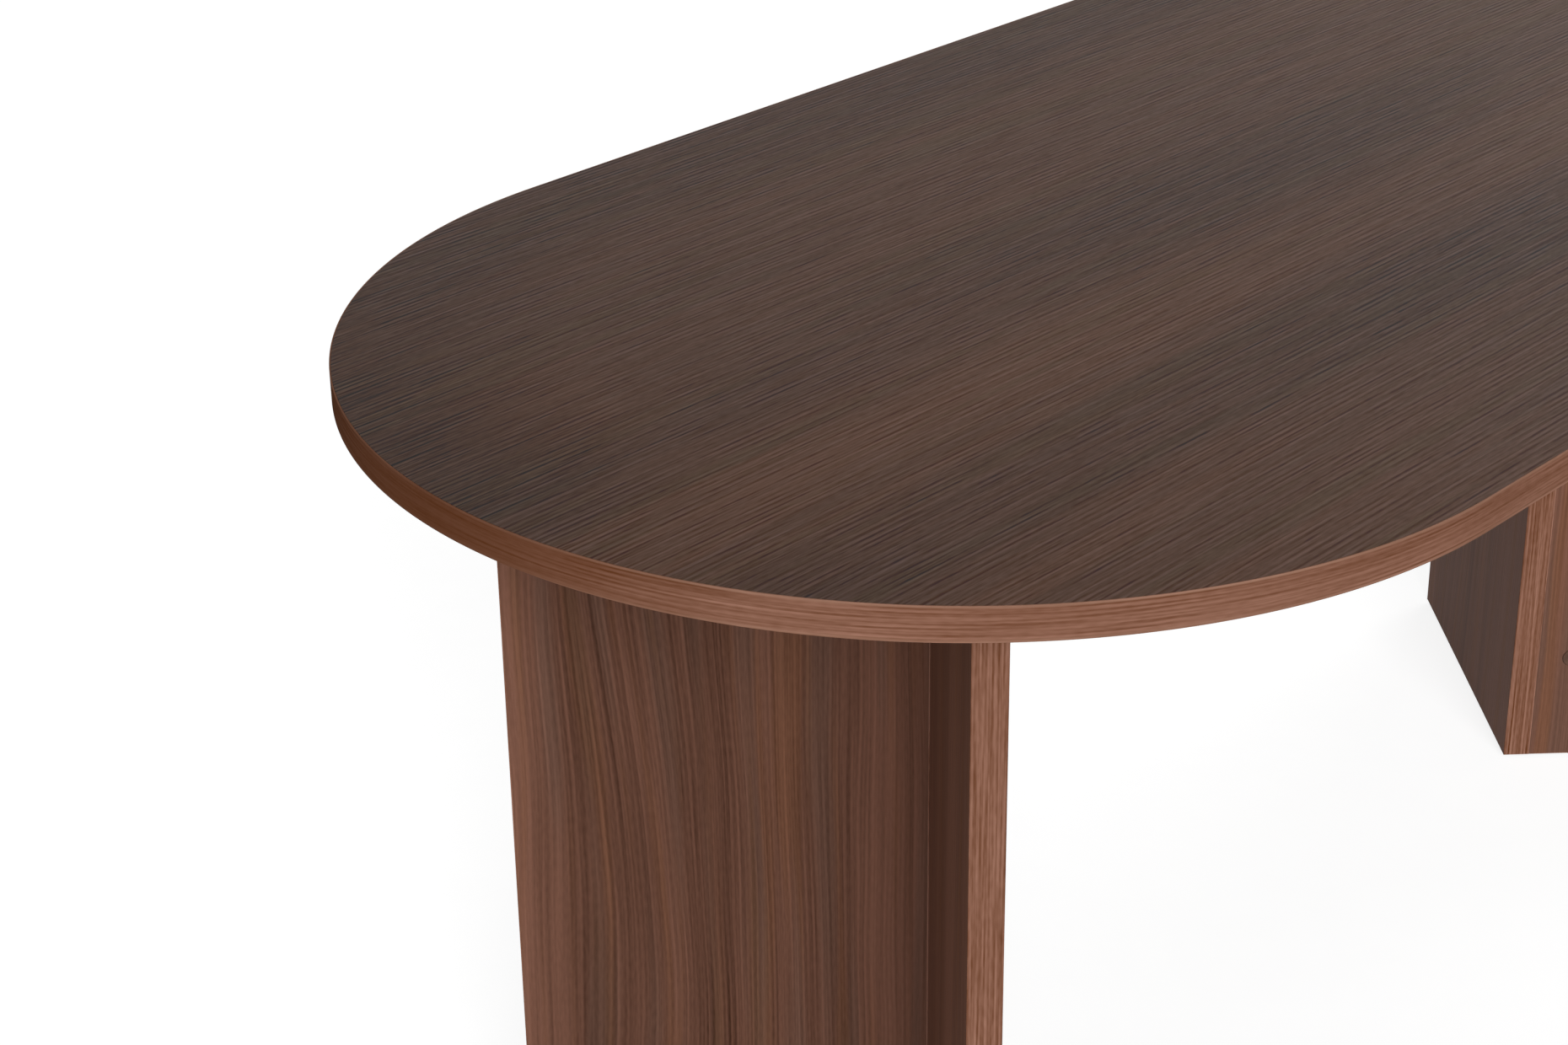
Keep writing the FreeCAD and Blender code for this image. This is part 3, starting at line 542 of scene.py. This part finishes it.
def pressed(height, depth, strength):
    """Surface normal of a finish pressed this deep where the height is low."""
    return height.node("ShaderNodeBump", {}, {"Height": height, "Distance": depth, "Strength": strength})


def lay_laminate(material, shader, grain, wood, relief, gloss):
    """Put printed walnut on a surface: satin, with its lines and pores lightly pressed in."""
    pores = fibre(grain, run=0.02, breadth=0.0007, shift=31.7)
    feed(material.node_tree, shader, {
        "Base Color": wood,
        "Roughness": 0.52 - relief * 0.1 + pores * 0.02,
        "Specular IOR Level": gloss,
        "Normal": pressed(relief * 0.6 + pores * 0.08, depth=0.00007, strength=0.45),
    })
    return material


def top_laminate(finish):
    """Walnut print on the top: straight grain with fine pressed dark lines.

    Painted shade darkens the print in three broad, soft areas: towards the edge at the back, at the two
    ends, and in the middle of the front half. At the two ends of the back half it is painted lighter and
    browner, to offset the grey sheen there.
    """
    material, shader, place = begin_finish("walnut_top_laminate")
    grain = wavy(printed_place(place), sway=0.0003, run=0.60, breadth=0.06)
    across = part(grain, "Y")
    back = part(place, "Y")
    aside = place.math("ABSOLUTE", part(place, "X"))
    past_side = place.math("MAXIMUM", aside - (BOARD_HIGH.x - BOARD_HIGH.y), 0.0)
    reach = place.math("SQRT", past_side * past_side + back * back)
    # Painted shade: darker towards the back edge, at the two ends and in the middle of the front half.
    edge = smooth_step(reach, *EDGE_OUT) * smooth_step(back, *EDGE_BACK)
    ends = smooth_step(aside, *END_ASIDE)
    middle = smooth_step(aside, *MIDDLE_ASIDE) * smooth_step(back, *MIDDLE_BACK)
    sheen_offset_area = smooth_step(aside, *SHEEN_OFFSET_ASIDE) * smooth_step(back, *SHEEN_OFFSET_BACK)
    painted_shading = sheen_offset_area * SHEEN_OFFSET_LIFT - edge * EDGE_PAINTED_SHADE - ends * END_PAINTED_SHADE - middle * MIDDLE_PAINTED_SHADE
    figure = figure_tone(across, TOP_FIGURE) + painted_shading
    wood, relief = printed_walnut(
        grain, across, figure,
        shades=(finish.top_dark, finish.top_light, finish.top_line),
        tints=(finish.top_olive, finish.top_violet),
        run=0.06, lines=-0.82, threads=0.05, specks=0.055, streaks=0.02,
    )
    # Painted warmth at the ends of the back half, offsetting the grey sheen there.
    wood = mixed(sheen_offset_area, wood, solid(finish.top_umber_against_sheen), "MULTIPLY")
    return lay_laminate(material, shader, grain, wood, relief, gloss=0.095)


def panel_laminate(finish, name, shift, painted_light_lift, tints):
    """Walnut print on the leg panels: grain upright, in broad light and dark bands.

    The bands are counted out along the arm, from a place shifted by the depth in the panel, so that a
    panel's two faces differ. In the outer half of the arm the grain swings to and fro as it rises. Lift is
    how much lighter than the figure a panel is painted: painted light, standing in for the fill light on
    the through panels' shaded inner faces.
    """
    material, shader, place = begin_finish(name)
    upright = place.node("ShaderNodeMapping", {}, {"Vector": place, "Rotation": UP_THE_PANEL})
    height = part(upright, "X")
    arms = [height.math("ABSOLUTE", part(upright, axis)) for axis in "YZ"]
    along_arm = height.math("MAXIMUM", *arms) - LEG_CORNER
    depth = height.math("MINIMUM", *arms) - LEG_CORNER
    outer = smooth_step(along_arm, *SWING_GROWS) * smooth_step(along_arm, *SWING_FADES)
    swing = height.math("SINE", height * (2 * math.pi / SWING_HEIGHT) - SWING_PHASE) * SWING_REACH
    swung = along_arm - outer * swing
    straight = height.node("ShaderNodeCombineXYZ", {}, {"X": height, "Y": swung, "Z": depth})
    grain = wavy(straight, sway=0.0015, run=0.30, breadth=0.09)
    across = part(grain, "Y")
    reached = across + depth * shift
    # The figure carries painted light near the corner, and the lift adds painted light on the through
    # panels.
    figure = figure_tone(reached.math("PINGPONG", reached, ARM_REACH), PANEL_FIGURE_AND_PAINTED_LIGHT) + painted_light_lift
    wood, relief = printed_walnut(
        grain, across, figure,
        shades=(finish.panel_dark, finish.panel_light, finish.panel_line),
        tints=tints,
        run=0.18, lines=0.19, threads=0.03, specks=0.018, streaks=0.045,
    )
    return lay_laminate(material, shader, grain, wood, relief, gloss=0.03)


def banding_colour(finish, grain, level, contrast):
    """Colour of the edge banding, and its fine threads.

    The tone is a level with lines, threads, flecks and slow streaks about it, weaker where the level is
    low.
    """
    across = part(grain, "Y") + part(grain, "Z")
    lines = pin_lines(grain, across, period=0.0036, run=0.10, low=-1.0, shift=2.3)
    threads = fibre(grain, run=0.08, breadth=0.0014, shift=13.1, detail=0.0)
    flecks = fibre(grain, run=0.008, breadth=0.0014, shift=29.3, detail=0.0)
    slow = fibre(grain, run=0.80, breadth=0.010, shift=19.7)
    streaks = lines * 0.38 + threads * 0.07 + flecks * 0.03 + slow * 0.03
    tone = (streaks * (2 * contrast) + 1) * level
    return mixed(tone, solid(finish.band_dark), solid(finish.band_light)), threads


def lay_banding(material, shader, wood, threads):
    """Put banding on an edge: matt plastic with its threads lightly pressed in."""
    feed(material.node_tree, shader, {
        "Base Color": wood,
        "Roughness": 0.55 + threads * 0.02,
        "Specular IOR Level": 0.0,
        "Normal": pressed(threads * 0.1, depth=0.00005, strength=0.4),
    })
    return material


def leg_banding(finish, name, level):
    """Walnut-coloured plastic banding on the legs, streaked upright."""
    material, shader, place = begin_finish(name)
    printed = printed_place(place)
    grain = place.node("ShaderNodeMapping", {}, {"Vector": printed, "Rotation": UP_THE_PANEL})
    wood, threads = banding_colour(finish, grain, level, contrast=1.15)
    return lay_banding(material, shader, wood, threads)


def rim_banding(finish):
    """Walnut-coloured banding round the top, paler along its two trimmed arrises: trimmed plastic, with a
    painted highlight along the upper one.
    """
    material, shader, place = begin_finish("walnut_rim_banding")
    grain = place.node("ShaderNodeUVMap", {"uv_map": RIM_MAP}, {})
    # The rim's level carries painted shade round the table's left end.
    level = figure_tone(part(grain, "X"), RIM_FIGURE_AND_PAINTED_SHADE)
    wood, threads = banding_colour(finish, grain, level, contrast=0.85)
    height = part(place, "Z")
    upper = smooth_step(height, *(RIM_HIGH.z - inset for inset in UPPER_TRIM))
    lower = smooth_step(height, *(RIM_LOW.z + inset for inset in LOWER_TRIM))
    # Paler trimmed plastic at both arrises, with a painted highlight along the upper one.
    trimmed_and_highlit = mixed((upper * 0.7 + lower * 0.5) * level, wood, solid(finish.band_arris_highlight))
    return lay_banding(material, shader, trimmed_and_highlit, threads)


def metal(name, shade, roughness, cell, depth):
    """Bare or plated metal: cloudy in tone and gloss in cells of this size, and slightly uneven."""
    material, shader, place = begin_finish(name)
    clouds = fibre(place, run=cell, breadth=cell, shift=4.3, detail=3.0)
    scratches = fibre(place, run=20 * cell, breadth=0.2 * cell, shift=8.9)
    tone = smooth_step(clouds, *CLOUDS)
    feed(material.node_tree, shader, {
        "Base Color": mixed(tone, solid(shade, 0.82), solid(shade, 1.12)),
        "Metallic": 1.0,
        "Roughness": roughness + clouds * 0.03 + scratches * 0.02,
        "Normal": pressed(clouds * 0.1 + scratches * 0.03, depth, strength=0.4),
    })
    return material


def moulded_plastic(name, shade, roughness):
    """Moulded plastic: an even colour with faint flow clouds and a fine pressed texture."""
    material, shader, place = begin_finish(name)
    clouds = fibre(place, run=0.006, breadth=0.006, shift=6.1, detail=3.0)
    texture = fibre(place, run=0.0005, breadth=0.0005, shift=9.7)
    tone = smooth_step(clouds, *CLOUDS)
    feed(material.node_tree, shader, {
        "Base Color": mixed(tone, solid(shade, 0.85), solid(shade, 1.15)),
        "Roughness": roughness + texture * 0.02,
        "Specular IOR Level": 0.2,
        "Normal": pressed(texture * 0.1, depth=0.00005, strength=0.5),
    })
    return material


def dowel_beech(finish):
    """Beech dowels: pale wood with short dark flecks."""
    material, shader, place = begin_finish("dowel_beech")
    clouds = fibre(place, run=0.02, breadth=0.004, shift=2.9)
    flecks = smooth_step(fibre(place, run=0.003, breadth=0.0006, shift=15.1), 1.0, 2.0)
    tone = smooth_step(clouds, *CLOUDS)
    wood = mixed(tone, solid(finish.beech, 0.85), solid(finish.beech, 1.15))
    feed(material.node_tree, shader, {
        "Base Color": mixed(flecks * 0.5, wood, solid(finish.beech, 0.5)),
        "Roughness": 0.7 + flecks * 0.1,
        "Normal": pressed(1 - flecks, depth=0.00005, strength=0.4),
    })
    return material


class TABLE_OT_top_board(Operator):
    """Shape the top board with its smooth racetrack outline and print walnut on it"""

    bl_idname = "table.top_board"
    bl_label = "Top board"

    def execute(self, context):
        sizes = context.scene.table_sizes
        ease = sizes.board_ease
        centres, directions, _ = racetrack(BOARD_HIGH.x, BOARD_HIGH.y, sizes.end_steps, sizes.side_steps)
        inward = np.array([ease, 0, 0, ease])
        height = np.array([BOARD_LOW.z, BOARD_LOW.z + ease, BOARD_HIGH.z - ease, BOARD_HIGH.z])
        points = carried_round(centres, directions, BOARD_HIGH.y - inward, height)
        rows, columns = len(centres), len(height)
        faces = grid_faces(rows, columns, True, False).tolist()
        ring = np.arange(rows) * columns
        faces.append(ring[::-1].tolist())
        faces.append((ring + columns - 1).tolist())
        finish = top_laminate(context.scene.table_finish)
        make_piece("top_board_walnut", points, faces, "top_laminate", finish, "top_board")
        return {"FINISHED"}


class TABLE_OT_rim_band(Operator):
    """Carry the rounded rim band round the top, with a map that runs along it"""

    bl_idname = "table.rim_band"
    bl_label = "Rim band"

    def execute(self, context):
        sizes = context.scene.table_sizes
        centres, directions, run = racetrack(RIM_HIGH.x, RIM_HIGH.y, sizes.end_steps, sizes.side_steps)
        width = RIM_HIGH.z - RIM_LOW.z
        out, across = eased_section(
            sizes.rim_thickness, width, sizes.rim_ease, sizes.ease_steps, sizes.flat_hold
        )
        inner = RIM_HIGH.y - sizes.rim_thickness
        points = carried_round(centres, directions, inner + out, RIM_LOW.z + across)
        rows, columns = len(centres), len(out)
        faces = grid_faces(rows, columns, True, True).tolist()
        finish = rim_banding(context.scene.table_finish)
        piece = make_piece("rim_band", points, faces, "edge_banding", finish, "top_edge_band")
        closed = np.concatenate([out, out[:1]]), np.concatenate([across, across[:1]])
        girth = np.concatenate([[0], np.cumsum(np.hypot(*np.diff(closed, axis=1)))])
        here, there = np.arange(rows), np.arange(rows) + 1
        low, high = np.arange(columns), np.arange(columns) + 1
        corners = [
            np.stack(np.broadcast_arrays(run[along][:, None] - PRINT_SHIFT, girth[up][None, :]), -1)
            for along, up in ((here, low), (there, low), (there, high), (here, high))
        ]
        layer = piece.data.uv_layers.new(name=RIM_MAP)
        layer.data.foreach_set("uv", np.stack(corners, 2).ravel())
        return {"FINISHED"}


class TABLE_OT_leg_panels(Operator):
    """Print walnut on the four upright panels of the legs"""

    bl_idname = "table.leg_panels"
    bl_label = "Leg panels"

    def execute(self, context):
        finish = context.scene.table_finish
        amber, violet = finish.panel_amber, finish.panel_violet
        butted = panel_laminate(
            finish, "walnut_butted_laminate", shift=0.0, painted_light_lift=0.0, tints=(amber, violet)
        )
        # The through panels are painted lighter: painted light, standing in for the fill light on their
        # shaded inner faces.
        through = panel_laminate(
            finish, "walnut_through_laminate", shift=5.0, painted_light_lift=0.30, tints=(amber,)
        )
        for side in SIDES:
            paint(butted, f"{side}_butted_panel")
            paint(through, f"{side}_through_panel")
        return {"FINISHED"}


class TABLE_OT_leg_bands(Operator):
    """Edge the leg panels with banding on their ends, feet and butted joints"""

    bl_idname = "table.leg_bands"
    bl_label = "Leg bands"

    def execute(self, context):
        sizes = context.scene.table_sizes
        finish = context.scene.table_finish
        plain = leg_banding(finish, "walnut_leg_banding", level=0.48)
        # The joint bands are paler: a painted highlight along the butted joint's arris.
        highlit_banding = leg_banding(finish, "walnut_joint_banding", level=0.85)
        for side in SIDES:
            for panel, band in LEG_BANDS:
                node = f"{side}_{panel}_{band}"
                low, high = leg_box(node)
                panel_low, panel_high = leg_box(f"{side}_{panel}")
                thin = int(np.argmin(high - low))
                apart = low + high - panel_low - panel_high
                outward = np.eye(3)[thin] * np.sign(apart[thin])
                points, faces = straight_band(
                    low, high, outward, sizes.leg_band_ease, sizes.ease_steps, sizes.flat_hold
                )
                material = highlit_banding if band == "joint_band" else plain
                make_piece(f"{node}_walnut", points @ LEG_TURN.T, faces, "edge_banding", material, node)
        return {"FINISHED"}


class TABLE_OT_corner_joints(Operator):
    """Finish the dowels, cam bolts, cam locks and caps in the corners of the legs"""

    bl_idname = "table.corner_joints"
    bl_label = "Corner joints"

    def execute(self, context):
        finish = context.scene.table_finish
        beech = dowel_beech(finish)
        steel = metal("cam_bolt_steel", finish.steel, roughness=0.30, cell=0.004, depth=0.00003)
        casting = metal("cam_lock_casting", finish.casting, roughness=0.48, cell=0.002, depth=0.00008)
        plastic = moulded_plastic("cam_cap_plastic", finish.cap, roughness=0.48)
        for side in SIDES:
            paint(beech, f"{side}_corner_dowels", f"{side}_top_dowels")
            paint(steel, f"{side}_cam_bolts")
            paint(casting, f"{side}_cam_locks")
            paint(plastic, f"{side}_cam_caps")
        return {"FINISHED"}


class TABLE_OT_top_fixings(Operator):
    """Finish the angle brackets, screws, bolts and insert nuts that hold the top"""

    bl_idname = "table.top_fixings"
    bl_label = "Top fixings"

    def execute(self, context):
        finish = context.scene.table_finish
        zinc = metal("bracket_zinc_plate", finish.zinc, roughness=0.38, cell=0.009, depth=0.00005)
        steel = metal("fastener_steel", finish.steel, roughness=0.30, cell=0.003, depth=0.00003)
        brass = metal("insert_brass", finish.brass, roughness=0.35, cell=0.003, depth=0.00003)
        for side in SIDES:
            paint(zinc, *[f"{side}_{panel}_bracket_{which}" for panel in PANELS for which in PAIR])
            paint(steel, f"{side}_bracket_screws", f"{side}_top_bolts")
            paint(brass, f"{side}_insert_nuts")
        return {"FINISHED"}


class TABLE_OT_feet(Operator):
    """Finish the glides under the legs and the nails that hold them"""

    bl_idname = "table.feet"
    bl_label = "Feet"

    def execute(self, context):
        finish = context.scene.table_finish
        plastic = moulded_plastic("glide_plastic", finish.glide, roughness=0.50)
        steel = metal("nail_steel", finish.steel, roughness=0.32, cell=0.003, depth=0.00003)
        for side in SIDES:
            paint(plastic, *[f"{side}_{panel}_glide_{which}" for panel in PANELS for which in PAIR])
            paint(steel, f"{side}_glide_nails")
        return {"FINISHED"}


def seen_rays(wire):
    """1 for rays from the camera and for mirrored or bent ones, 0 for the rest."""
    names = ("Is Camera Ray", "Is Glossy Ray", "Is Transmission Ray")
    path = wire.node("ShaderNodeLightPath", {}, {}).socket.node
    camera, glossy, bent = (Wire(wire.tree, path.outputs[name]) for name in names)
    return camera.math("MAXIMUM", camera.math("MAXIMUM", camera, glossy), bent)


def floor_finish(stage):
    """Plain floor, with white added where it is seen, so that it is white but for a soft shadow."""
    material, shader, place = begin_finish("plain_floor")
    tree = material.node_tree
    speckle = smooth_step(fibre(place, run=0.05, breadth=0.05, shift=1.7), *CLOUDS)
    feed(tree, shader, {
        "Base Color": mixed(speckle, solid(stage.floor_colour, 0.99), solid(stage.floor_colour, 1.01)),
        "Roughness": 0.9,
        "Specular IOR Level": 0.0,
    })
    glow = place.node("ShaderNodeEmission", {}, {"Strength": seen_rays(place) * stage.floor_glow})
    both = place.node("ShaderNodeAddShader", {}, {0: Wire(tree, shader.outputs[0]), 1: glow})
    feed(tree, tree.nodes["Material Output"], {"Surface": both})
    return material


def light_world(stage):
    """Even white light from all round, seen as plain white."""
    world = bpy.data.worlds.new("plain_studio")
    world.use_nodes = True
    tree = world.node_tree
    shader = tree.nodes["Background"]
    white = solid((1.0, 1.0, 1.0))
    feed(tree, shader, {"Color": white, "Strength": stage.world_light})
    even = Wire(tree, shader.outputs[0])
    backdrop = even.node("ShaderNodeBackground", {}, {"Color": white, "Strength": 1.0})
    shown = even.node("ShaderNodeMixShader", {}, {0: seen_rays(even), 1: even, 2: backdrop})
    feed(tree, tree.nodes["World Output"], {"Surface": shown})
    bpy.context.scene.world = world


def soft_light(name, strength, azimuth, height, spread):
    """A broad light from far off, aimed at the middle of the floor."""
    lamp = bpy.data.lights.new(name, "SUN")
    lamp.energy = strength
    lamp.angle = math.radians(spread)
    light = bpy.data.objects.new(name, lamp)
    bpy.context.scene.collection.objects.link(light)
    round_z = Matrix.Rotation(math.radians(azimuth), 3, "Z")
    way = round_z @ Matrix.Rotation(-math.radians(height), 3, "Y") @ Vector((1, 0, 0))
    light.location = LIGHT_DISTANCE * way
    light.rotation_euler = way.to_track_quat("Z", "Y").to_euler()


class TABLE_OT_stage(Operator):
    """Lay the floor, light the table softly and set up the camera"""

    bl_idname = "table.stage"
    bl_label = "Stage"

    def execute(self, context):
        scene = context.scene
        stage = scene.table_stage
        scene.view_settings.view_transform = "Standard"
        half = stage.floor_half
        mesh = bpy.data.meshes.new("floor")
        corners = [(-half, -half, 0), (half, -half, 0), (half, half, 0), (-half, half, 0)]
        mesh.from_pydata(corners, [], [(0, 1, 2, 3)])
        mesh.materials.append(floor_finish(stage))
        floor = bpy.data.objects.new("floor", mesh)
        scene.collection.objects.link(floor)
        light_world(stage)
        for name, aim in LIGHTS.items():
            soft_light(name, getattr(stage, name), *aim)
        lens = bpy.data.cameras.new("camera")
        lens.lens = stage.camera_lens
        camera = bpy.data.objects.new("camera", lens)
        scene.collection.objects.link(camera)
        camera.matrix_world = (
            Matrix.Translation(stage.camera_place)
            @ Matrix.Rotation(stage.camera_heading - math.pi / 2, 4, "Z")
            @ Matrix.Rotation(math.pi / 2 - stage.camera_tilt, 4, "X")
            @ Matrix.Rotation(stage.camera_roll, 4, "Z")
        )
        scene.camera = camera
        return {"FINISHED"}


OPERATORS = (
    TABLE_OT_top_board,
    TABLE_OT_rim_band,
    TABLE_OT_leg_panels,
    TABLE_OT_leg_bands,
    TABLE_OT_corner_joints,
    TABLE_OT_top_fixings,
    TABLE_OT_feet,
    TABLE_OT_stage,
)
GROUPS = {"table_sizes": TableSizes, "table_finish": TableFinish, "table_stage": TableStage}


class VIEW3D_PT_table(Panel):
    """Buttons and settings of the table"""

    bl_label = "Oval dining table"
    bl_space_type = "VIEW_3D"
    bl_region_type = "UI"
    bl_category = "Table"

    def draw(self, context):
        layout = self.layout
        for operator in OPERATORS:
            layout.operator(operator.bl_idname)
        for group_name in GROUPS:
            group = getattr(context.scene, group_name)
            box = layout.box()
            for name in group.__annotations__:
                box.prop(group, name)


CLASSES = (*GROUPS.values(), *OPERATORS, VIEW3D_PT_table)


def register():
    """Make the operators, settings and panel known to Blender."""
    for kind in CLASSES:
        bpy.utils.register_class(kind)
    for name, group in GROUPS.items():
        setattr(bpy.types.Scene, name, PointerProperty(type=group))


def unregister():
    """Take the operators, settings and panel away again."""
    for name in GROUPS:
        delattr(bpy.types.Scene, name)
    for kind in reversed(CLASSES):
        bpy.utils.unregister_class(kind)


def main():
    """Build every piece in order."""
    register()
    bpy.ops.table.top_board()
    bpy.ops.table.rim_band()
    bpy.ops.table.leg_panels()
    bpy.ops.table.leg_bands()
    bpy.ops.table.corner_joints()
    bpy.ops.table.top_fixings()
    bpy.ops.table.feet()
    bpy.ops.table.stage()


if __name__ == "__main__":
    main()
